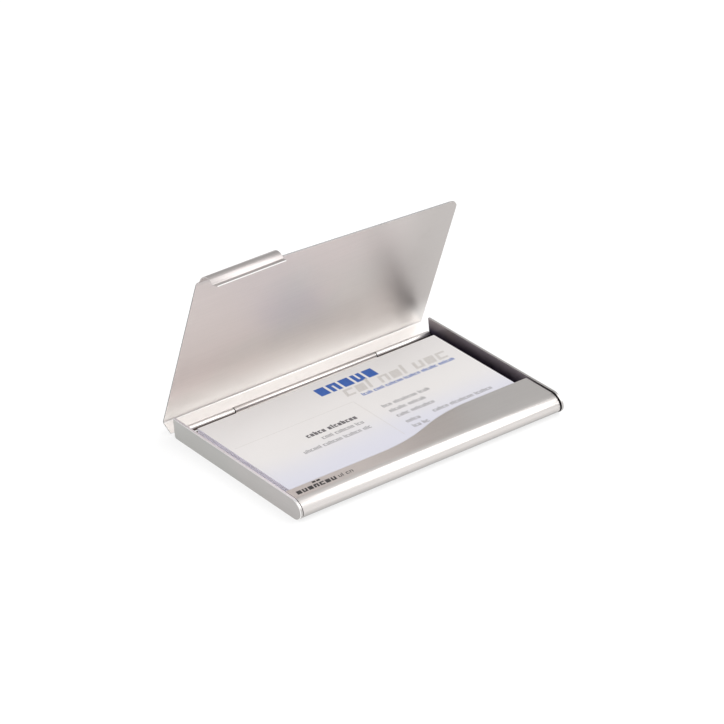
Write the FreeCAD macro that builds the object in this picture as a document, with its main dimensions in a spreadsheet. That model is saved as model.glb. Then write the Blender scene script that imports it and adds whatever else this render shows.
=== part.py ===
"""Business card case: folded sheet-metal base, two end plates, hinged lid with a clasp, and its cards.

The frame is +X to the right, +Y to the back (hinge side), +Z up.  The origin is in the middle of the
case's underside, on the surface that the case stands on.  Sizes are in millimetres and angles in degrees.
"""
import FreeCAD, Part
import math
import os
import re

import Sketcher

# Driving dimensions: alias, value, what it is.
DIMENSIONS = [
    ("case_width", 93.0, "over the outer faces of the end plates"),
    ("plate_thickness", 0.8, "end plate"),
    ("plate_height", 6.7, "end plate, bottom edge to top edge"),
    ("plate_reach", 33.7, "origin forward to the end plate's rounded front"),
    ("plate_rear", 33.9, "origin back to the end plate's rear edge"),
    ("plate_nose_radius", 2.55, "foremost arc of the end plate"),
    ("plate_heel_radius", 0.9, "rear bottom corner of the end plate"),
    ("plate_edge_chamfer", 0.15, "broken edge round the plate's outer face"),
    ("weld_flange_width", 1.5, "strip of the end plate that lies inside on the base"),
    ("weld_flange_thickness", 0.4, "the same strip"),
    ("weld_flange_rear", 31.5, "origin back to the end of the strip"),
    ("weld_flange_front", 28.5, "origin forward to the start of the strip"),
    ("base_sheet", 0.45, "base sheet metal"),
    ("seam_gap", 0.4, "open seam between the base's side edge and an end plate"),
    ("nose_reach", 33.4, "origin forward to the rolled front edge"),
    ("nose_radius", 2.4, "foremost arc of the rolled edge"),
    ("shoulder_angle", 50.0, "turn of each flatter arc above and below the foremost one"),
    ("lip_top", 6.4, "top of the lip over the cards"),
    ("lip_edge_left", 24.5, "origin forward to the lip's rear edge on the left"),
    ("lip_edge_right", 17.0, "the same on the right"),
    ("lip_curve_left", -12.0, "where the lip's edge starts its S"),
    ("lip_curve_right", 24.0, "where the lip's edge ends its S"),
    ("base_rear", 32.5, "origin back to the base's edge in front of the lid's knuckles"),
    ("hinge_back", 34.0, "origin back to the hinge axis"),
    ("hinge_height", 1.15, "hinge axis above the underside"),
    ("pin_radius", 0.7, "hinge pin"),
    ("pin_end_gap", 0.15, "hinge pin's end to the end plate"),
    ("pin_chamfer", 0.15, "hinge pin's ends"),
    ("knuckle_bore", 0.75, "radius of the hole in the lid's knuckles"),
    ("middle_knuckle_length", 51.0, "knuckle rolled from the base"),
    ("middle_knuckle_wrap", 290.0, "turn of the base's knuckle round the pin"),
    ("knuckle_gap", 0.25, "side play between knuckles, and beside the end plates"),
    ("lid_sheet", 0.35, "lid sheet metal"),
    ("lid_width", 93.4, "lid panel"),
    ("lid_gap", 0.15, "closed lid above the end plates"),
    ("lid_reach_right", 22.0, "origin forward to the closed lid's front edge at the right"),
    ("lid_bend_radius", 0.8, "outside of the bend between panel and flange"),
    ("lid_corner_radius", 3.5, "front right corner of the panel"),
    ("lid_corner_left", 0.9, "front left corner of the panel"),
    ("lid_knuckle_wrap", 310.0, "turn of the lid's knuckles round the pin"),
    ("flange_notch", 1.6, "hinge axis up to the flange's edge over the base's knuckle"),
    ("flange_end", 1.4, "hinge axis up to the flange's edge behind an end plate"),
    ("clasp_left", -45.55, "left end of the clasp, inside the left end plate"),
    ("clasp_taper", 0.9, "how far the flare's left corner is drawn in"),
    ("clasp_taper_top", 1.8, "height where that starts when closed"),
    ("clasp_right", -21.3, "right end of the clasp"),
    ("clasp_gap", 0.5, "clasp in front of the rolled edge when closed"),
    ("clasp_nose_radius", 2.7, "inside of the clasp's foremost arc"),
    ("clasp_hook_angle", 28.0, "turn of that arc past the foremost point, under the rolled edge"),
    ("clasp_flare_radius", 0.75, "inner face of the bend where the clasp turns outward again"),
    ("clasp_flare_angle", 58.0, "turn of that bend"),
    ("clasp_flare_length", 1.27, "flat part of the flare at the clasp's free edge"),
    ("clasp_relief", 0.9, "width and depth of the relief cut beside the clasp"),
    ("open_angle", 63.0, "lid turned up from closed, as the case stands open"),
    ("card_length", 85.0, "business card"),
    ("card_width", 55.0, "business card"),
    ("card_thickness", 0.325, "business card"),
    ("card_side_shift", -1.0, "cards left of the middle of the case"),
    ("card_front", 30.0, "origin forward to the front edge of the cards"),
    ("stack_bottom", 0.55, "underside of the lowest card"),
    ("card_count", 15, "cards below the top one"),
    ("card_scatter", 0.15, "how far a card lies out of line with the others"),
    ("scatter_step_across", 137.0, "turn from card to card that sets its place sideways"),
    ("scatter_step_back", 99.0, "turn from card to card that sets its place front to back"),
    ("top_card_gap", 0.08, "top card above the others"),
    ("cut_margin", 1.0, "how far a cut runs past the metal"),
    ("fold_cut_length", 11.5, "front to back through a folded edge of the lid"),
]
TOLERANCE = 1e-3    # points nearer than this are in one place

doc = FreeCAD.newDocument("card_case")


def fill_sheet():
    """Put the driving dimensions in a spreadsheet, one row each, with an alias on its value."""
    sheet = doc.addObject("Spreadsheet::Sheet", "Sizes")
    for row, (alias, value, meaning) in enumerate(DIMENSIONS, start=1):
        sheet.set(f"A{row}", alias)
        sheet.set(f"B{row}", str(value))
        sheet.set(f"C{row}", meaning)
        sheet.setAlias(f"B{row}", alias)
    doc.recompute()
    return sheet


sizes = fill_sheet()


def on_sheet(formula):
    """Name the sheet in front of every alias in a formula."""
    return re.sub(r"[a-z]+_[a-z_]*[a-z]", lambda alias: "Sizes." + alias.group(), str(formula))


def value_of(formula):
    """Work a formula out with the sheet's present values."""
    return float(sizes.evalExpression(on_sheet(formula)))


def bind(thing, name, formula):
    """Tie a property to a formula on the sheet."""
    thing.setExpression(name, on_sheet(formula))


# ---- Sketching ---------------------------------------------------------------------------------------

def polar(centre, radius, angle):
    """The formulas of the point at an angle on a circle."""
    across = f"{centre[0]} + ({radius}) * cos(({angle}) * 1 deg)"
    up = f"{centre[1]} + ({radius}) * sin(({angle}) * 1 deg)"
    return across, up


def line(end):
    return "line", end, None, None, None


def arc(centre, radius, angle, sense):
    """An arc about a centre to an angle: sense is 1 counter-clockwise, -1 clockwise."""
    return "arc", polar(centre, radius, angle), centre, radius, sense


def new_sketch(body, name, plane, offset="0"):
    """A sketch on one of the body's origin planes, moved along its normal."""
    sketch = body.newObject("Sketcher::SketchObject", name)
    base = [item for item in body.Origin.OriginFeatures if item.Role == plane][0]
    sketch.AttachmentSupport = [(base, "")]
    sketch.MapMode = "FlatFace"
    bind(sketch, "AttachmentOffset.Base.z", offset)
    return sketch


def pin_point(sketch, geometry, position, point):
    """Fix a point of the sketch at two formulas."""
    for kind, formula in (("DistanceX", point[0]), ("DistanceY", point[1])):
        number = sketch.addConstraint(
            Sketcher.Constraint(kind, -1, 1, geometry, position, value_of(formula)))
        bind(sketch, f"Constraints[{number}]", formula)


def outline(sketch, start, path):
    """Draw a closed outline: straight lines and arcs from a start point, each corner fixed by formulas."""
    here = start
    joints = []
    for kind, end, centre, radius, sense in path:
        here_xy = FreeCAD.Vector(value_of(here[0]), value_of(here[1]), 0)
        end_xy = FreeCAD.Vector(value_of(end[0]), value_of(end[1]), 0)
        if kind == "line":
            number = sketch.addGeometry(Part.LineSegment(here_xy, end_xy), False)
            tail, head = 1, 2
        else:
            middle = FreeCAD.Vector(value_of(centre[0]), value_of(centre[1]), 0)
            begin, finish = (here_xy, end_xy) if sense > 0 else (end_xy, here_xy)
            angles = [math.atan2(spot.y - middle.y, spot.x - middle.x) for spot in (begin, finish)]
            if angles[1] <= angles[0]:
                angles[1] += 2 * math.pi
            circle = Part.Circle(middle, FreeCAD.Vector(0, 0, 1), value_of(radius))
            number = sketch.addGeometry(Part.ArcOfCircle(circle, angles[0], angles[1]), False)
            tail, head = (1, 2) if sense > 0 else (2, 1)
            rim = sketch.addConstraint(Sketcher.Constraint("Radius", number, value_of(radius)))
            bind(sketch, f"Constraints[{rim}]", radius)
        joints.append((number, tail, head))
        pin_point(sketch, number, head, end)
        here = end
    for place, (number, tail, head) in enumerate(joints):
        before = joints[place - 1]
        sketch.addConstraint(Sketcher.Constraint("Coincident", before[0], before[2], number, tail))


def rectangle(sketch, left, right, low, high):
    """A rectangle between formulas for its sides."""
    outline(sketch, (left, low), [line((right, low)), line((right, high)),
                                  line((left, high)), line((left, low))])


# ---- Features ----------------------------------------------------------------------------------------

def new_body(label):
    body = doc.addObject("PartDesign::Body", label)
    body.Label = label
    return body


def pad(body, name, sketch, length, symmetric=False):
    feature = body.newObject("PartDesign::Pad", name)
    feature.Profile = sketch
    if symmetric:
        feature.SideType = "Symmetric"
    bind(feature, "Length", length)
    doc.recompute()
    return feature


def pocket(body, name, sketch, length, symmetric=False, upward=False):
    """Cut a sketch's outline out of the body, and make sure that the cut removes metal."""
    before = body.Shape.Volume
    feature = body.newObject("PartDesign::Pocket", name)
    feature.Profile = sketch
    if symmetric:
        feature.SideType = "Symmetric"
    feature.Reversed = upward
    bind(feature, "Length", length)
    doc.recompute()
    if body.Shape.Volume >= before:
        raise RuntimeError(f"{body.Label}: {name} cuts nothing")
    return feature


def edges_where(shape, test):
    """Names of the edges whose every vertex and middle pass a test."""
    names = []
    for number, edge in enumerate(shape.Edges, start=1):
        middle = edge.valueAt((edge.FirstParameter + edge.LastParameter) / 2)
        spots = [vertex.Point for vertex in edge.Vertexes] + [middle]
        if all(test(spot) for spot in spots):
            names.append(f"Edge{number}")
    return names


def dress(body, kind, name, test, size_name, size):
    """A fillet or chamfer on the edges of the body's tip that pass a test."""
    tip = body.Tip
    feature = body.newObject(kind, name)
    feature.Base = (tip, edges_where(tip.Shape, test))
    bind(feature, size_name, size)
    doc.recompute()
    return feature


# ---- The rolled front, shared by the base, the end plates and the clasp --------------------------------

class Nose:
    """A rounded front between two parallel faces: a flatter arc, a tight foremost arc, a flatter arc.

    The shoulder arcs turn by shoulder_angle each and are tangent to the faces and to the foremost arc.
    """

    def __init__(self, middle, half_height, reach, radius):
        turn = "shoulder_angle * 1 deg"
        self.shoulder = f"(({half_height} - {radius} * cos({turn})) / (1 - cos({turn})))"
        self.start = f"(-({reach}) + {radius} * (1 - sin({turn})) + {self.shoulder} * sin({turn}))"
        self.radius = radius
        self.front_centre = (f"(-({reach}) + {radius})", f"({middle})")
        self.top_centre = (self.start, f"({middle} + {half_height} - {self.shoulder})")
        self.bottom_centre = (self.start, f"({middle} - {half_height} + {self.shoulder})")

    def upper(self, grow, sense, past="0"):
        """From the top face to the front and past it by an angle, or back again, its arcs larger by grow."""
        shoulder = f"({self.shoulder} + ({grow}))"
        front = f"({self.radius} + ({grow}))"
        if sense > 0:
            return [arc(self.top_centre, shoulder, "90 + shoulder_angle", 1),
                    arc(self.front_centre, front, f"180 + {past}", 1)]
        return [arc(self.front_centre, front, "90 + shoulder_angle", -1),
                arc(self.top_centre, shoulder, "90", -1)]

    def whole(self, grow, sense):
        """All three arcs, bottom to top (sense -1) or top to bottom (sense 1)."""
        shoulder = f"({self.shoulder} + ({grow}))"
        front = f"({self.radius} + ({grow}))"
        if sense < 0:
            return [arc(self.bottom_centre, shoulder, "270 - shoulder_angle", -1),
                    arc(self.front_centre, front, "90 + shoulder_angle", -1),
                    arc(self.top_centre, shoulder, "90", -1)]
        return [arc(self.top_centre, shoulder, "90 + shoulder_angle", 1),
                arc(self.front_centre, front, "270 - shoulder_angle", 1),
                arc(self.bottom_centre, shoulder, "270", 1)]


base_nose = Nose("lip_top / 2", "(lip_top / 2)", "nose_reach", "nose_radius")
plate_nose = Nose("plate_height / 2", "(plate_height / 2)", "plate_reach", "plate_nose_radius")
INSIDE_WIDTH = "(case_width - 2 * plate_thickness)"


# ---- Base shell ----------------------------------------------------------------------------------------

def make_base_shell():
    """Bottom, rolled front and lip of one sheet, with the middle hinge knuckle rolled from its rear edge."""
    body = new_body("base_shell")
    profile = new_sketch(body, "base_profile", "YZ_Plane")
    inside = "(lip_top - base_sheet)"
    path = [line((base_nose.start, "0"))]
    path += base_nose.whole("0", -1)
    path += [line(("-lip_edge_right", "lip_top")),
             line(("-lip_edge_right", inside)),
             line((base_nose.start, inside))]
    path += base_nose.whole("-base_sheet", 1)
    path += [line(("base_rear", "base_sheet")),
             line(("base_rear", "0"))]
    outline(profile, ("base_rear", "0"), path)
    pad(body, "base_fold", profile, f"{INSIDE_WIDTH} - 2 * seam_gap", symmetric=True)

    axis = ("hinge_back", "hinge_height")
    wrap_end = "middle_knuckle_wrap - 90"
    knuckle = new_sketch(body, "middle_knuckle_profile", "YZ_Plane")
    outer = "(pin_radius + base_sheet)"
    outline(knuckle, ("base_rear", "0"), [
        line(("hinge_back", "0")),
        arc(axis, outer, wrap_end, 1),
        line(polar(axis, "pin_radius", wrap_end)),
        arc(axis, "pin_radius", "-90", -1),
        line(("base_rear", "base_sheet")),
        line(("base_rear", "0")),
    ])
    pad(body, "middle_knuckle", knuckle, "middle_knuckle_length", symmetric=True)

    lip_cut = new_sketch(body, "lip_edge", "XY_Plane", "lip_top / 2")
    span = "(lip_curve_right - lip_curve_left)"
    rise = "(lip_edge_left - lip_edge_right)"
    bow = f"(({span} * {span} + {rise} * {rise}) / (4 * {rise}))"
    lower_centre = ("lip_curve_left", f"(-lip_edge_left + {bow})")
    upper_centre = ("lip_curve_right", f"(-lip_edge_right - {bow})")
    half_turn = f"(asin({span} / (2 * {bow})) / 1 deg)"
    beyond = "case_width / 2"
    outline(lip_cut, (f"-{beyond}", "-lip_edge_left"), [
        line(("lip_curve_left", "-lip_edge_left")),
        arc(lower_centre, bow, f"-90 + {half_turn}", 1),
        arc(upper_centre, bow, "90", -1),
        line(("lip_curve_right", "-lip_edge_right + cut_margin")),
        line((f"-{beyond}", "-lip_edge_right + cut_margin")),
        line((f"-{beyond}", "-lip_edge_left")),
    ])
    pocket(body, "lip_edge_cut", lip_cut, "lip_top", upward=True)
    return body


# ---- End plates ----------------------------------------------------------------------------------------

def make_end_plate(label, side):
    """A flat plate that closes one end and stands proud of the base, with a strip welded inside.

    side is -1 for the left plate and 1 for the right one.
    """
    body = new_body(label)
    left_face = "-case_width / 2" if side < 0 else "case_width / 2 - plate_thickness"
    profile = new_sketch(body, label + "_outline", "YZ_Plane", left_face)
    heel = ("(plate_rear - plate_heel_radius)", "plate_heel_radius")
    path = [line((plate_nose.start, "0"))]
    path += plate_nose.whole("0", -1)
    path += [line(("plate_rear", "plate_height")),
             line(("plate_rear", "plate_heel_radius")),
             arc(heel, "plate_heel_radius", "270", -1)]
    outline(profile, ("(plate_rear - plate_heel_radius)", "0"), path)
    pad(body, label + "_sheet", profile, "plate_thickness")

    strip = new_sketch(body, label + "_strip", "XY_Plane", "base_sheet")
    face = f"{side} * {INSIDE_WIDTH} / 2"
    edge = f"{side} * ({INSIDE_WIDTH} / 2 - weld_flange_width)"
    left, right = (face, edge) if side < 0 else (edge, face)
    rectangle(strip, left, right, "-weld_flange_front", "weld_flange_rear")
    pad(body, label + "_weld_strip", strip, "weld_flange_thickness")

    outer_face = side * value_of("case_width / 2")
    dress(body, "PartDesign::Chamfer", label + "_broken_edge",
          lambda spot: abs(spot.x - outer_face) < TOLERANCE, "Size", "plate_edge_chamfer")
    return body


# ---- Hinge pin -----------------------------------------------------------------------------------------

def make_hinge_pin():
    """A steel wire through all three knuckles, held endways between the end plates."""
    body = new_body("hinge_pin")
    section = new_sketch(body, "pin_section", "YZ_Plane")
    centre = FreeCAD.Vector(value_of("hinge_back"), value_of("hinge_height"), 0)
    circle = Part.Circle(centre, FreeCAD.Vector(0, 0, 1), value_of("pin_radius"))
    number = section.addGeometry(circle, False)
    rim = section.addConstraint(Sketcher.Constraint("Radius", number, value_of("pin_radius")))
    bind(section, f"Constraints[{rim}]", "pin_radius")
    pin_point(section, number, 3, ("hinge_back", "hinge_height"))
    pad(body, "pin_wire", section, f"{INSIDE_WIDTH} - 2 * pin_end_gap", symmetric=True)
    end = value_of(f"{INSIDE_WIDTH} / 2 - pin_end_gap")
    dress(body, "PartDesign::Chamfer", "pin_ends",
          lambda spot: abs(abs(spot.x) - end) < TOLERANCE, "Size", "pin_chamfer")
    return body


# ---- Lid -----------------------------------------------------------------------------------------------

# The lid is drawn closed, about the hinge axis, and its Placement opens it.
PANEL_TOP = "(plate_height + lid_gap + lid_sheet - hinge_height)"
KNUCKLE_OUTER = "(knuckle_bore + lid_sheet)"
LIP_MIDDLE = "(lip_top / 2)"
clasp_nose = Nose(f"{LIP_MIDDLE} - hinge_height", f"(plate_height + lid_gap - {LIP_MIDDLE})",
                  "nose_reach + clasp_gap + hinge_back", "clasp_nose_radius")


def lid_profile(body):
    """Side view of panel, bend, flange and knuckle: one strip of constant thickness."""
    profile = new_sketch(body, "lid_profile", "YZ_Plane")
    axis = ("0", "0")
    bend = (f"({KNUCKLE_OUTER} - lid_bend_radius)", f"({PANEL_TOP} - lid_bend_radius)")
    inner_bend = "(lid_bend_radius - lid_sheet)"
    under_panel = f"({PANEL_TOP} - lid_sheet)"
    wrap_end = "-lid_knuckle_wrap"
    outline(profile, (clasp_nose.start, PANEL_TOP), [
        line((bend[0], PANEL_TOP)),
        arc(bend, "lid_bend_radius", "0", -1),
        line((KNUCKLE_OUTER, "0")),
        arc(axis, KNUCKLE_OUTER, wrap_end, -1),
        line(polar(axis, "knuckle_bore", wrap_end)),
        arc(axis, "knuckle_bore", "0", 1),
        line(polar(bend, inner_bend, "0")),
        arc(bend, inner_bend, "90", 1),
        line((clasp_nose.start, under_panel)),
        line((clasp_nose.start, PANEL_TOP)),
    ])
    pad(body, "lid_fold", profile, "lid_width", symmetric=True)


def cut_knuckle_gaps(body):
    """Clear the flange's lower part over the base's knuckle and behind the end plates."""
    gaps = new_sketch(body, "knuckle_gaps", "XZ_Plane")
    below = f"-({KNUCKLE_OUTER} + cut_margin)"
    middle = "(middle_knuckle_length / 2 + knuckle_gap)"
    side = f"({INSIDE_WIDTH} / 2 - knuckle_gap)"
    beyond = "(lid_width / 2 + cut_margin)"
    rectangle(gaps, f"-{middle}", middle, below, "flange_notch")
    rectangle(gaps, side, beyond, below, "flange_end")
    rectangle(gaps, f"-{beyond}", f"-{side}", below, "flange_end")
    pocket(body, "knuckle_gaps_cut", gaps, "fold_cut_length", symmetric=True)


def cut_front_edge(body):
    """Slant the panel's front edge to the right of the clasp, with a relief notch where they meet."""
    front = new_sketch(body, "front_edge", "XY_Plane", PANEL_TOP)
    half = "(lid_width / 2)"
    right_front = "(-lid_reach_right - hinge_back)"
    slope = f"(({right_front} - {clasp_nose.start}) / lid_width)"
    beyond = f"({half} + cut_margin)"
    far = f"({clasp_nose.start} - cut_margin)"
    relief_x = "(clasp_right + clasp_relief)"
    relief_y = f"({clasp_nose.start} + {slope} * ({relief_x} + {half}))"
    outline(front, ("clasp_right", far), [
        line(("clasp_right", f"({relief_y} + clasp_relief)")),
        line((relief_x, f"({relief_y} + clasp_relief)")),
        line((relief_x, relief_y)),
        line((beyond, f"({right_front} + {slope} * cut_margin)")),
        line((beyond, far)),
        line(("clasp_right", far)),
    ])
    pocket(body, "front_edge_cut", front, "lid_sheet + cut_margin")


def add_clasp(body):
    """A tab of the lid that folds down round the rolled front edge, hooks under it and flares out again."""
    fold = new_sketch(body, "clasp_profile", "YZ_Plane", "clasp_left")
    under_panel = (clasp_nose.start, f"({PANEL_TOP} - lid_sheet)")
    flare = polar(clasp_nose.front_centre, "clasp_nose_radius + clasp_flare_radius", "180 + clasp_hook_angle")
    flare_outer = "(clasp_flare_radius - lid_sheet)"
    flare_end = "(clasp_hook_angle - clasp_flare_angle)"
    edge_foot = polar(flare, "0", flare_end)
    edge_foot = (f"({edge_foot[0]} + clasp_flare_length * sin({flare_end} * 1 deg))",
                 f"({edge_foot[1]} - clasp_flare_length * cos({flare_end} * 1 deg))")
    path = clasp_nose.upper("0", 1, "clasp_hook_angle")
    path += [arc(flare, "clasp_flare_radius", flare_end, -1),
             line(polar(edge_foot, "clasp_flare_radius", flare_end)),
             line(polar(edge_foot, flare_outer, flare_end)),
             line(polar(flare, flare_outer, flare_end)),
             arc(flare, flare_outer, "clasp_hook_angle", 1)]
    path += clasp_nose.upper("lid_sheet", -1)
    path += [line(under_panel)]
    outline(fold, under_panel, path)
    pad(body, "clasp_fold", fold, "clasp_right - clasp_left")

    corner = new_sketch(body, "flare_left_corner", "XZ_Plane", f"-({clasp_nose.start})")
    below = "-hinge_height"
    taper_top = "clasp_taper_top - hinge_height"
    outline(corner, ("clasp_left - cut_margin", taper_top), [
        line(("clasp_left - cut_margin", below)),
        line(("clasp_left + clasp_taper", below)),
        line(("clasp_left", taper_top)),
        line(("clasp_left - cut_margin", taper_top)),
    ])
    pocket(body, "flare_left_corner_cut", corner, "fold_cut_length", upward=True)


def make_lid():
    """Panel, rear flange, two side knuckles and clasp, all of one sheet."""
    body = new_body("lid")
    lid_profile(body)
    cut_knuckle_gaps(body)
    cut_front_edge(body)
    add_clasp(body)
    side = value_of("lid_width / 2")
    front_right = value_of("-(lid_reach_right + hinge_back)")
    front_left = value_of(clasp_nose.start)
    dress(body, "PartDesign::Fillet", "front_right_corner",
          lambda spot: abs(spot.x - side) < TOLERANCE and abs(spot.y - front_right) < TOLERANCE,
          "Radius", "lid_corner_radius")
    dress(body, "PartDesign::Fillet", "front_left_corner",
          lambda spot: abs(spot.x + side) < TOLERANCE and abs(spot.y - front_left) < TOLERANCE,
          "Radius", "lid_corner_left")
    bind(body, "Placement.Base.y", "hinge_back")
    bind(body, "Placement.Base.z", "hinge_height")
    body.Placement.Rotation = FreeCAD.Rotation(FreeCAD.Vector(-1, 0, 0), 0)
    bind(body, "Placement.Rotation.Angle", "open_angle * 1 deg")
    return body


# ---- Cards ---------------------------------------------------------------------------------------------

def make_card(label, across, back, low):
    """One card, drawn about its own middle and placed with its underside at a height."""
    body = new_body(label)
    shape = new_sketch(body, label + "_outline", "XY_Plane")
    rectangle(shape, "-card_length / 2", "card_length / 2", "-card_width / 2", "card_width / 2")
    pad(body, label + "_sheet", shape, "card_thickness")
    bind(body, "Placement.Base.x", across)
    bind(body, "Placement.Base.y", back)
    bind(body, "Placement.Base.z", low)
    return body


def make_cards():
    """The stack, each card a little out of line with the next, and the top card over it."""
    count = round(value_of("card_count"))
    middle = "(card_width / 2 - card_front)"
    cards = []
    for place in range(count):
        across = f"card_side_shift + card_scatter * sin({place} * scatter_step_across * 1 deg)"
        back = f"{middle} + card_scatter * (1 + cos({place} * scatter_step_back * 1 deg))"
        cards.append(make_card(f"card_{place + 1:02d}", across, back,
                               f"stack_bottom + {place} * card_thickness"))
    cards.append(make_card("top_card", "card_side_shift", middle,
                           f"stack_bottom + {count} * card_thickness + top_card_gap"))
    return cards


# ---- Build, check and write ----------------------------------------------------------------------------

def check_and_write(bodies):
    """Write every sub-part only after each object and each shape has been found sound."""
    doc.recompute()
    for item in doc.Objects:
        if "Invalid" in item.State or "Error" in item.State:
            raise RuntimeError(f"{item.Label} failed: {item.State}")
    for body in bodies:
        if body.Shape.isNull() or not body.Shape.isValid() or len(body.Shape.Solids) != 1:
            raise RuntimeError(f"{body.Label} is not one sound solid")
    os.makedirs("parts", exist_ok=True)
    for body in bodies:
        body.Shape.exportStep(f"parts/{body.Label}.step")
        box = body.Shape.BoundBox
        print(f"{body.Label}: {body.Shape.Volume:.1f} mm3, x {box.XMin:.2f} to {box.XMax:.2f}, "
              f"y {box.YMin:.2f} to {box.YMax:.2f}, z {box.ZMin:.2f} to {box.ZMax:.2f}")


check_and_write([
    make_base_shell(),
    make_end_plate("left_end_plate", -1),
    make_end_plate("right_end_plate", 1),
    make_hinge_pin(),
    make_lid(),
] + make_cards())
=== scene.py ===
"""The looks of an open business card case: satin sheet metal, its cards and their meaningless print.

Every length is in metres, in the frame's own axes: +X to the right, +Y to the hinge, +Z up.
Lengths written in millimetres are multiplied by MM.
"""
import math

import bmesh
import bpy
from mathutils import Matrix, Vector


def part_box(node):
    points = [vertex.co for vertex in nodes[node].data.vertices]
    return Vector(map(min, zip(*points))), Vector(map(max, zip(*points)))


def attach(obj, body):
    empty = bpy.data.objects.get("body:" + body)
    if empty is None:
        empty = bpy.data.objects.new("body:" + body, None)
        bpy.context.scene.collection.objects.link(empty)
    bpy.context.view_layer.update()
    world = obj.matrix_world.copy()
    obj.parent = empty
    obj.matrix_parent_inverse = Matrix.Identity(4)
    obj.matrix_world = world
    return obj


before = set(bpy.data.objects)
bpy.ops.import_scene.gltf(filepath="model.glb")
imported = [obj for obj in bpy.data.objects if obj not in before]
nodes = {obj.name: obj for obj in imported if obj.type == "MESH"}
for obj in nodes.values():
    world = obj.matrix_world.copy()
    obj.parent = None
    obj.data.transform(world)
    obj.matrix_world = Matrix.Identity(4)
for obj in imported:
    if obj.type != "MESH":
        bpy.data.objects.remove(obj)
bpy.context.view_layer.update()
MM = 0.001
HINGE_BACK, HINGE_HEIGHT = 34.0 * MM, 1.15 * MM  # the hinge axis in y and z
LID_OPEN = math.radians(63.0)                    # from closed to the rest pose


# ---- Materials -----------------------------------------------------------------------------------------

class Look:
    """A material and a short way to write its nodes."""

    def __init__(self, name):
        self.material = bpy.data.materials.new(name)
        self.material.use_nodes = True
        self.tree = self.material.node_tree
        self.shader = self.tree.nodes["Principled BSDF"]
        coordinates = self.tree.nodes.new("ShaderNodeTexCoord").outputs
        self.place, self.facing = coordinates["Object"], coordinates["Normal"]

    def link(self, source, target):
        self.tree.links.new(source, target)

    def feed(self, socket, value):
        """Give a socket a number, a colour or another node's output."""
        if isinstance(value, (int, float)):
            socket.default_value = value
        elif isinstance(value, tuple):
            socket.default_value = (*value, 1.0)
        else:
            self.link(value, socket)

    def stretched(self, x, y, z):
        """Object coordinates for a pattern that is finer along an axis where its number is larger."""
        mapping = self.tree.nodes.new("ShaderNodeMapping")
        mapping.inputs["Scale"].default_value = (x, y, z)
        self.link(self.place, mapping.inputs["Vector"])
        return mapping.outputs["Vector"]

    def noise(self, vector, scale, detail, roughness=0.55):
        texture = self.tree.nodes.new("ShaderNodeTexNoise")
        texture.inputs["Scale"].default_value = scale
        texture.inputs["Detail"].default_value = detail
        texture.inputs["Roughness"].default_value = roughness
        self.link(vector, texture.inputs["Vector"])
        return texture.outputs["Fac"]

    def spread(self, value, low, high, out_low, out_high, smooth=False):
        """Map a value's range to another range, clamped."""
        change = self.tree.nodes.new("ShaderNodeMapRange")
        if smooth:
            change.interpolation_type = "SMOOTHSTEP"
        ends = {"From Min": low, "From Max": high, "To Min": out_low, "To Max": out_high}
        for name, number in ends.items():
            change.inputs[name].default_value = number
        self.link(value, change.inputs["Value"])
        return change.outputs["Result"]

    def maths(self, operation, first, second=0.0):
        node = self.tree.nodes.new("ShaderNodeMath")
        node.operation = operation
        self.feed(node.inputs[0], first)
        self.feed(node.inputs[1], second)
        return node.outputs["Value"]

    def blend(self, factor, first, second):
        """Mix two colours by a factor."""
        mix = self.tree.nodes.new("ShaderNodeMix")
        mix.data_type = "RGBA"
        factor_socket, first_socket, second_socket = mix.inputs[0], mix.inputs[6], mix.inputs[7]
        self.feed(factor_socket, factor)
        self.feed(first_socket, first)
        self.feed(second_socket, second)
        return mix.outputs[2]

    def axis(self, vector, name):
        """One axis of a vector."""
        parts = self.tree.nodes.new("ShaderNodeSeparateXYZ")
        self.link(vector, parts.inputs["Vector"])
        return parts.outputs[name]

    def face_turn(self, name):
        """How squarely the surface faces along one of the piece's own axes, -1 to 1."""
        return self.axis(self.facing, name)

    def along_x(self):
        """1 where the surface faces squarely left or right, 0 elsewhere."""
        return self.spread(self.maths("ABSOLUTE", self.face_turn("X")), 0.80, 0.95, 0.0, 1.0)

    def bump(self, height, strength, distance, below=None):
        node = self.tree.nodes.new("ShaderNodeBump")
        node.inputs["Strength"].default_value = strength
        node.inputs["Distance"].default_value = distance
        self.link(height, node.inputs["Height"])
        if below is not None:
            self.link(below, node.inputs["Normal"])
        return node.outputs["Normal"]


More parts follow.
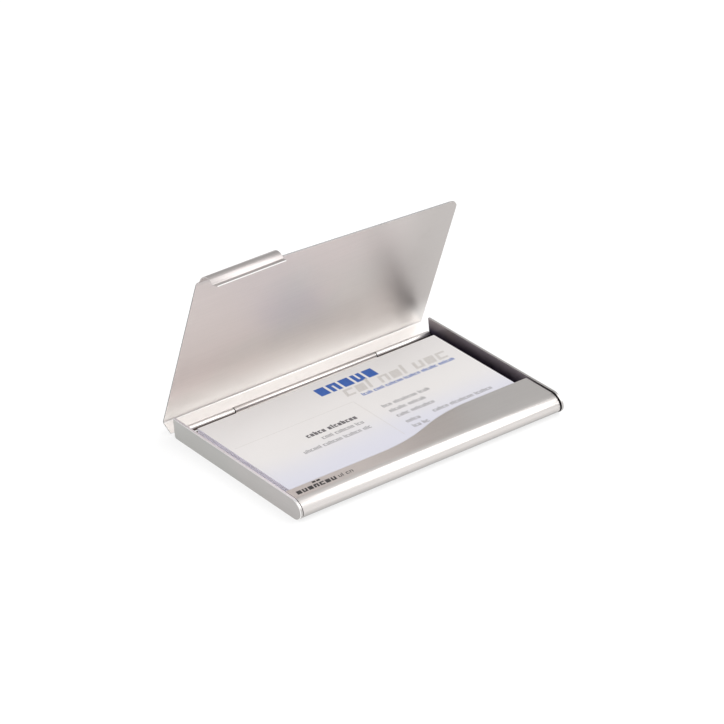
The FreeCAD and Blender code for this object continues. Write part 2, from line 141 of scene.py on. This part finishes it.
def satin_metal(name, warm, cool, grain, roughness, paint_light_and_shade=None):
    """Satin sheet: fine grain drawn out along one axis, cloudy tints, hairline scratches, a few finger marks.

    warm and cool are its two tints.  grain scales the pattern along x, y and z: a small number draws it out
    along that axis.  The last argument paints light and shade into the colour of some of the surface.
    """
    look = Look(name)
    shader = look.shader
    shader.inputs["Metallic"].default_value = 1.0
    drawn = look.stretched(*grain)
    strokes = look.noise(drawn, 1500.0, 6.0, 0.65)
    hairs = look.noise(drawn, 5200.0, 3.0, 0.7)
    pits = look.noise(look.place, 5200.0, 2.0, 0.6)
    clouds = look.noise(look.place, 24.0, 2.0)
    touches = look.noise(look.place, 95.0, 5.0, 0.68)
    scratch = look.noise(look.stretched(grain[0] * 0.2, 1.7, 1.3), 420.0, 8.0, 0.75)

    tint = look.blend(look.spread(clouds, 0.40, 0.62, 0.0, 1.0, smooth=True), warm, cool)
    darker = look.blend(0.96, (0.0, 0.0, 0.0), tint)
    fine = look.maths("ADD", look.maths("MULTIPLY", strokes, 0.6), look.maths("MULTIPLY", pits, 0.4))
    colour = look.blend(look.spread(fine, 0.38, 0.60, 0.0, 1.0), darker, tint)
    hairline = look.spread(scratch, 0.71, 0.75, 0.0, 0.25)
    colour = look.blend(hairline, colour, (0.86, 0.85, 0.84))
    # painted light and shade: painted highlights and painted shade, where a piece's function adds them
    if paint_light_and_shade is not None:
        colour = paint_light_and_shade(look, colour)
    look.link(colour, shader.inputs["Base Color"])

    rough = look.maths("ADD", look.spread(strokes, 0.3, 0.7, roughness - 0.02, roughness + 0.02),
                       look.spread(touches, 0.50, 0.72, 0.0, 0.05, smooth=True))
    look.link(rough, shader.inputs["Roughness"])
    normal = look.bump(strokes, 0.05, 0.000012)
    normal = look.bump(hairs, 0.08, 0.000006, normal)
    look.link(look.bump(pits, 0.06, 0.000006, normal), shader.inputs["Normal"])
    return look.material


def rim_with_painted_light(look, colour, top):
    """Leave an end plate's faces as they are, paint a highlight on its broken edge and paint light or shade
    on its top edge with the colour top.
    """
    sideways = look.maths("ABSOLUTE", look.face_turn("X"))
    upward = look.spread(look.face_turn("Z"), 0.90, 0.98, 0.0, 1.0)
    # painted light or painted shade on the top edge, and a painted highlight on the broken edge
    cut = look.blend(upward, (0.50, 0.48, 0.47), top)
    rim = look.blend(look.spread(sideways, 0.30, 0.50, 0.0, 1.0), cut, (0.93, 0.92, 0.91))
    return look.blend(look.along_x(), rim, colour)


def inside_painted_bright(look, colour):
    """The rim in painted light with a painted highlight on its top edge, and a painted highlight over the
    face towards the cards.
    """
    # painted highlight: the face towards the cards is near white, brighter than the same metal outside
    inward = look.spread(look.face_turn("X"), 0.80, 0.95, 0.0, 1.0)
    return look.blend(inward, rim_with_painted_light(look, colour, (0.95, 0.93, 0.98)), (0.93, 0.91, 0.98))


def inside_painted_dark(look, colour):
    """The rim in painted light with painted shade on its top edge, and painted shade on the face towards the
    cards: darkest and violet low down, and grey in the seam at the nose.
    """
    # painted shade: the inner face darkens from grey at the top to violet black low down, and is grey at the
    # nose seam
    height = look.spread(look.axis(look.place, "Z"), 2.8 * MM, 6.6 * MM, 0.0, 1.0)
    inside = look.blend(height, (0.022, 0.014, 0.040), (0.38, 0.34, 0.36))
    nose = look.spread(look.axis(look.place, "Y"), -29.5 * MM, -28.0 * MM, 1.0, 0.0)
    inside = look.blend(nose, inside, (0.22, 0.20, 0.21))
    inward = look.spread(look.face_turn("X"), -0.95, -0.80, 1.0, 0.0)
    # painted shade on the top edge, darker than on the left plate
    return look.blend(inward, rim_with_painted_light(look, colour, (0.55, 0.53, 0.52)), inside)


def painted_shade_underneath(look, colour):
    """Paint shade on the base where it faces down, and paint its cut sides near black as shade in the open
    seams.
    """
    # painted shade: darker where the surface faces down, near black on the cut sides in the seams
    downward = look.spread(look.face_turn("Z"), -0.85, 0.0, 1.0, 0.0)
    underside_shaded = look.blend(downward, colour, (0.36, 0.35, 0.34))
    return look.blend(look.along_x(), underside_shaded, (0.05, 0.045, 0.05))


def distance_up_the_lid(look):
    """How far a place on the open lid is from the hinge axis, measured along the panel."""
    back = look.maths("SUBTRACT", look.axis(look.place, "Y"), HINGE_BACK)
    up = look.maths("SUBTRACT", look.axis(look.place, "Z"), HINGE_HEIGHT)
    return look.maths("ADD", look.maths("MULTIPLY", back, -math.cos(LID_OPEN)),
                      look.maths("MULTIPLY", up, math.sin(LID_OPEN)))


def lid_with_painted_light(look, colour):
    """Paint light and shade on the lid: a painted highlight towards its bend, painted shade on its right half
    and its clasp, and darker cut edges.

    The undersides of the knuckles get painted shade too, and the clasp's free edge a painted highlight.
    """
    reach = distance_up_the_lid(look)
    # painted shade: darker towards the right
    right = look.spread(look.axis(look.place, "X"), 10.0 * MM, 42.0 * MM, 0.0, 1.0, smooth=True)
    panel = look.blend(right, colour, (0.52, 0.490, 0.475))
    # painted highlight: lighter towards the bend, and lightest on the bend itself
    near = look.spread(reach, 1.0 * MM, 13.0 * MM, 1.0, 0.0, smooth=True)
    panel = look.blend(near, panel, (0.82, 0.795, 0.775))

    above_flange = look.spread(reach, -0.745 * MM, -0.72 * MM, 0.0, 1.0)
    below_panel = look.spread(reach, -0.3 * MM, 0.6 * MM, 1.0, 0.0)
    panel = look.blend(look.maths("MULTIPLY", above_flange, below_panel), panel, (0.84, 0.815, 0.800))
    # painted shade under the knuckles
    low = look.spread(look.axis(look.place, "Z"), 1.20 * MM, 1.45 * MM, 1.0, 0.0)
    in_front = look.spread(look.axis(look.place, "Y"), 34.4 * MM, 34.7 * MM, 1.0, 0.0)
    panel = look.blend(look.maths("MULTIPLY", low, in_front), panel, (0.10, 0.075, 0.065))

    far = look.spread(reach, 40.0 * MM, 45.0 * MM, 0.0, 1.0)
    front_edge = look.maths("MULTIPLY", far, look.spread(look.face_turn("Z"), 0.82, 0.88, 0.0, 1.0))
    cut_edge = look.maths("MAXIMUM", front_edge, look.along_x())
    panel = look.blend(cut_edge, panel, (0.30, 0.30, 0.30))
    # painted shade on the clasp, with a painted highlight on its free edge
    free_edge = look.spread(look.face_turn("Y"), -0.97, -0.85, 1.0, 0.0)
    clasp = look.blend(free_edge, (0.52, 0.485, 0.475), (0.95, 0.93, 0.92))
    return look.blend(look.spread(reach, 61.5 * MM, 63.0 * MM, 0.0, 1.0), panel, clasp)


def card_paper(name, wash_start, wash_end, edge):
    """Smooth white card with a faint fibre, a cut edge painted brighter than the face as painted light, and
    a wash of colour to the front.

    The wash grows between two places along y.
    """
    look = Look(name)
    shader = look.shader
    fibre = look.noise(look.place, 2600.0, 6.0, 0.7)
    cloud = look.noise(look.place, 70.0, 3.0)
    white = look.blend(cloud, (0.69, 0.670, 0.660), (0.72, 0.700, 0.690))
    drift = look.maths("MULTIPLY", look.noise(look.stretched(0.7, 1.0, 1.0), 30.0, 1.0), 0.012)
    along = look.maths("SUBTRACT", look.axis(look.place, "Y"), drift)
    wash = look.spread(along, wash_end, wash_start, 1.0, 0.0, smooth=True)
    face = look.blend(wash, white, (0.62, 0.62, 0.69))
    # painted light: the cut edges take their own colour, brighter than the paper's face
    square = look.spread(look.maths("ABSOLUTE", look.face_turn("Z")), 0.3, 0.7, 0.0, 1.0)
    look.link(look.blend(square, edge, face), shader.inputs["Base Color"])
    look.link(look.spread(fibre, 0.3, 0.7, 0.45, 0.58), shader.inputs["Roughness"])
    look.link(look.bump(fibre, 0.12, 0.000008), shader.inputs["Normal"])
    return look.material


def ink(name, colour, paler):
    """Printing ink, a little uneven where the paper takes less of it."""
    look = Look(name)
    spots = look.noise(look.place, 3200.0, 4.0, 0.6)
    tone = look.blend(look.spread(spots, 0.35, 0.65, 0.0, 1.0), colour, paler)
    look.link(tone, look.shader.inputs["Base Color"])
    look.link(look.spread(spots, 0.3, 0.7, 0.38, 0.50), look.shader.inputs["Roughness"])
    look.link(look.bump(spots, 0.10, 0.000006), look.shader.inputs["Normal"])
    return look.material


ALONG_X = (0.03, 1.0, 1.0)
ALONG_Y = (1.0, 0.03, 1.0)
PLATE_TINTS = (0.47, 0.45, 0.44), (0.45, 0.445, 0.43)
base_metal = satin_metal("satin_base", (0.70, 0.665, 0.645), (0.68, 0.650, 0.630), ALONG_X, 0.30,
                          painted_shade_underneath)
lid_metal = satin_metal("satin_lid", (0.78, 0.72, 0.705), (0.745, 0.715, 0.695), ALONG_X, 0.42, lid_with_painted_light)
left_plate_metal = satin_metal("satin_left_plate", *PLATE_TINTS, ALONG_Y, 0.33, inside_painted_bright)
right_plate_metal = satin_metal("satin_right_plate", *PLATE_TINTS, ALONG_Y, 0.33, inside_painted_dark)
wire_metal = satin_metal("drawn_wire", (0.60, 0.59, 0.58), (0.57, 0.57, 0.57), ALONG_X, 0.25)
# painted light: a pale lavender brighter than the card's face, for edges that sit in shade
CARD_EDGE_PAINTED_LIGHT = (0.93, 0.90, 0.97)
stack_paper = card_paper("stack_card", -0.060, -0.080, CARD_EDGE_PAINTED_LIGHT)
top_paper = card_paper("top_card_paper", -0.006, -0.028, CARD_EDGE_PAINTED_LIGHT)
blue_ink = ink("blue_ink", (0.012, 0.070, 0.33), (0.03, 0.12, 0.42))
pale_ink = ink("pale_ink", (0.50, 0.47, 0.45), (0.62, 0.60, 0.58))
grey_ink = ink("grey_ink", (0.22, 0.21, 0.22), (0.36, 0.35, 0.36))
dark_ink = ink("dark_ink", (0.06, 0.055, 0.06), (0.14, 0.13, 0.14))
black_ink = ink("black_ink", (0.010, 0.009, 0.010), (0.030, 0.027, 0.028))

looks = {"base_shell": base_metal, "lid": lid_metal, "hinge_pin": wire_metal, "top_card": top_paper,
         "left_end_plate": left_plate_metal, "right_end_plate": right_plate_metal}
for name, node in nodes.items():
    node.data.materials[0] = looks.get(name, stack_paper)


def soften_edges(piece, radius):
    """Round the cut edges of the sheet so that they catch the light."""
    weld = piece.modifiers.new("weld", "WELD")
    weld.merge_threshold = 0.001 * MM
    bevel = piece.modifiers.new("edges", "BEVEL")
    bevel.width = radius
    bevel.segments = 2
    bevel.limit_method = "ANGLE"
    bevel.angle_limit = math.radians(35)
    bevel.harden_normals = True


SHEET_EDGE_RADIUS = 0.06 * MM
for name in ("base_shell", "lid", "left_end_plate", "right_end_plate"):
    soften_edges(nodes[name], SHEET_EDGE_RADIUS)


# ---- Print ---------------------------------------------------------------------------------------------

INK_THICKNESS = 0.012 * MM
INK_SUNK = 0.004 * MM
TALL = 1.35             # a tall stroke's height
SHARE_OF_STEP = 0.80    # a mark's width in a row of marks of one width
WORD_MARK_WIDTH = 0.62  # shares of the height of a mark in a word
MARK_GAP = 0.17
WORD_GAP = 0.65


def printed(name, outlines, look, surface, body):
    """A thin layer of ink on a level surface: closed flat shapes, with their corners in millimetres."""
    mesh = bmesh.new()
    for outline in outlines:
        low = [mesh.verts.new((x * MM, y * MM, surface - INK_SUNK)) for x, y in outline]
        high = [mesh.verts.new((x * MM, y * MM, surface + INK_THICKNESS)) for x, y in outline]
        mesh.faces.new(reversed(low))
        mesh.faces.new(high)
        for number in range(len(outline)):
            mesh.faces.new((low[number - 1], low[number], high[number], high[number - 1]))
    data = bpy.data.meshes.new(name)
    mesh.to_mesh(data)
    mesh.free()
    data.materials.append(look)
    piece = bpy.data.objects.new(name, data)
    bpy.context.collection.objects.link(piece)
    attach(piece, body)


def mark(kind, left, low, width, height, stroke, lean=0.0):
    """One meaningless mark of straight strokes, leaning over by a share of its height."""
    inner, top = width - stroke, height - stroke
    corners = {
        "arch": [(0, 0), (stroke, 0), (stroke, top), (inner, top), (inner, 0), (width, 0), (width, height),
                 (0, height)],
        "cup": [(0, 0), (width, 0), (width, height), (inner, height), (inner, stroke), (stroke, stroke),
                (stroke, height), (0, height)],
        "hook": [(0, 0), (width, 0), (width, stroke), (stroke, stroke), (stroke, top), (width, top),
                 (width, height), (0, height)],
        "post": [(0, 0), (stroke, 0), (stroke, TALL * height), (0, TALL * height)],
        "chair": [(0, 0), (stroke, 0), (stroke, top), (inner, top), (inner, 0), (width, 0), (width, height),
                  (stroke, height), (stroke, TALL * height), (0, TALL * height)],
        "tile": [(0, 0), (width, 0), (width, height), (0, height)],
    }[kind]
    return [(left + x + lean * y, low + y) for x, y in corners]


def row_of_marks(kinds, left, low, right, height, stroke, lean=0.0):
    """Marks of one width that fill a line from left to right."""
    step = (right - left) / len(kinds)
    return [mark(kind, left + step * number, low, SHARE_OF_STEP * step, height, stroke, lean)
            for number, kind in enumerate(kinds)]


def words_in_a_row(left, low, right, height, phase, weight=0.22):
    """A line of small close marks in groups that stand for words, from left to right.

    Words are three to eight marks long.  phase sets where the pattern of kinds and lengths starts.  weight is
    the width of a stroke as a share of the height.
    """
    kinds = ("arch", "hook", "cup", "post", "arch", "chair", "hook")
    row = []
    place = left
    number = phase
    left_in_word = 3 + phase % 4
    while place < right - 0.5 * height:
        kind = kinds[number * 3 % len(kinds)]
        stroke = weight * height
        width = stroke if kind == "post" else WORD_MARK_WIDTH * height
        row.append(mark(kind, place, low, width, height, stroke))
        left_in_word -= 1
        place += width + height * (MARK_GAP if left_in_word else WORD_GAP)
        number += 1
        if not left_in_word:
            left_in_word = 3 + (number * 5) % 6
    return row


def rule(left, low, right, high):
    """A thin straight line, as a box."""
    return [(left, low), (right, low), (right, high), (left, high)]


def print_card():
    """Rows of marks and rules where a business card has its name, trade and address."""
    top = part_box("top_card")[1][2]
    title = row_of_marks(("tile", "arch", "tile", "cup", "tile"), -5.5, 16.0, 15.9, 4.9, 1.35)
    script = row_of_marks(("hook", "tile", "post", "arch", "tile", "post", "cup", "tile", "hook"),
                          0.0, 10.6, 37.6, 4.3, 1.0, 0.22)
    person = words_in_a_row(-22.6, -2.3, -4.9, 1.7, 2, 0.30)
    trade = words_in_a_row(-19.6, -5.9, -5.0, 1.4, 5) + words_in_a_row(-28.4, -9.6, -4.9, 1.4, 3)
    address = []
    for left, low, right, phase in ((4.2, -2.3, 21.7, 4), (4.2, -6.0, 17.6, 7), (4.2, -9.8, 18.0, 9),
                                    (4.2, -14.5, 10.2, 6), (13.8, -14.5, 35.1, 2), (4.2, -18.1, 10.2, 8)):
        address += words_in_a_row(left, low, right, 1.4, phase)
    rules = [rule(-42.0, 7.0, -0.62, 7.12), rule(-0.5, -19.4, -0.38, 7.12)]
    layers = {
        "print_title": (title, blue_ink, 0.0),
        "print_script": (script, pale_ink, INK_THICKNESS),
        "print_motto": (words_in_a_row(4.0, 7.9, 37.1, 1.3, 1), blue_ink, 0.0),
        "print_name": (person, dark_ink, 0.0),
        "print_trade": (trade, grey_ink, 0.0),
        "print_address": (address, grey_ink, 0.0),
        "print_rules": (rules, pale_ink, 0.0),
    }
    for name, (shapes, look, lift) in layers.items():
        printed(name, shapes, look, top + lift, "top_card")


def print_lip():
    """A small dark row of plain marks near the left end of the lip."""
    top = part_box("base_shell")[1][2]
    kinds = ("tile", "cup", "tile", "arch", "hook", "tile", "cup")
    row = row_of_marks(kinds, -43.6, -28.6, -29.8, 1.9, 0.6, 0.15)
    row += row_of_marks(("cup", "post", "hook", "arch"), -29.2, -28.3, -24.0, 1.3, 0.25, 0.15)
    row += row_of_marks(("tile", "tile"), -36.9, -25.9, -33.9, 0.9, 0.5, 0.15)
    printed("lip_print", row, black_ink, top, "case")


print_card()
print_lip()


# ---- Stage, lights and camera --------------------------------------------------------------------------

def make_floor():
    """A pale floor that glows a little, as a light table does, so that shadows on it stay faint."""
    reach = 3.0
    corners = [(-reach, -reach, 0), (reach, -reach, 0), (reach, reach, 0), (-reach, reach, 0)]
    mesh = bpy.data.meshes.new("floor")
    mesh.from_pydata(corners, [], [(0, 1, 2, 3)])
    floor = bpy.data.objects.new("floor", mesh)
    bpy.context.collection.objects.link(floor)
    look = Look("floor_white")
    grain = look.noise(look.place, 30.0, 4.0)
    look.link(look.blend(grain, (0.29, 0.29, 0.29), (0.31, 0.31, 0.31)), look.shader.inputs["Base Color"])
    look.shader.inputs["Roughness"].default_value = 0.9
    look.shader.inputs["Emission Color"].default_value = (1.0, 1.0, 1.0, 1.0)
    look.shader.inputs["Emission Strength"].default_value = 0.70
    mesh.materials.append(look.material)


def soft_light(name, place, width, brightness, aim=(0, 0, 0.01)):
    """A round soft box: brightness is its radiance, so a mirror that sees it shows that value."""
    data = bpy.data.lights.new(name, "AREA")
    data.shape = "DISK"
    data.size = width
    data.energy = brightness * math.pi * math.pi * (width / 2) ** 2
    lamp = bpy.data.objects.new(name, data)
    lamp.location = place
    lamp.rotation_euler = (Vector(aim) - Vector(place)).to_track_quat("-Z", "Y").to_euler()
    bpy.context.collection.objects.link(lamp)


def make_world():
    """A pale room, brighter towards the front and darker towards the back and the right."""
    world = bpy.data.worlds.new("studio")
    world.use_nodes = True
    tree = world.node_tree
    ray = tree.nodes.new("ShaderNodeTexCoord").outputs["Generated"]
    facing = tree.nodes.new("ShaderNodeVectorMath")
    facing.operation = "DOT_PRODUCT"
    tree.links.new(ray, facing.inputs[0])
    facing.inputs[1].default_value = Vector((0.35, 0.90, 0.25)).normalized()
    shade = tree.nodes.new("ShaderNodeMapRange")
    for name, number in (("From Min", -0.55), ("From Max", 0.95), ("To Min", 1.10), ("To Max", 0.61)):
        shade.inputs[name].default_value = number
    tree.links.new(facing.outputs["Value"], shade.inputs["Value"])
    background = tree.nodes["Background"]
    background.inputs["Color"].default_value = (1.0, 1.0, 1.0, 1.0)
    tree.links.new(shade.outputs["Result"], background.inputs["Strength"])
    bpy.context.scene.world = world


def make_camera():
    """A long lens from the front left, a little tipped."""
    azimuth, elevation, roll = math.radians(-31.97), math.radians(27.91), math.radians(-5.31)
    distance, target = 1.20571, Vector((-0.00051, 0, 0.0219))
    focal_length, frame_width = 205.8, 36.0
    back = Vector((math.sin(azimuth) * math.cos(elevation), -math.cos(azimuth) * math.cos(elevation),
                   math.sin(elevation)))
    data = bpy.data.cameras.new("camera")
    data.sensor_width = frame_width
    data.lens = focal_length
    data.clip_start, data.clip_end = 0.05, 20.0
    camera = bpy.data.objects.new("camera", data)
    camera.location = target + back * distance
    turn = (-back).to_track_quat("-Z", "Y").to_matrix() @ Matrix.Rotation(roll, 3, "Z")
    camera.rotation_euler = turn.to_euler()
    bpy.context.collection.objects.link(camera)
    bpy.context.scene.camera = camera


make_floor()
soft_light("key_softbox", (0.57, -0.46, 0.94), 1.35, 1.9)
make_world()
make_camera()
bpy.context.scene.view_settings.view_transform = "Standard"
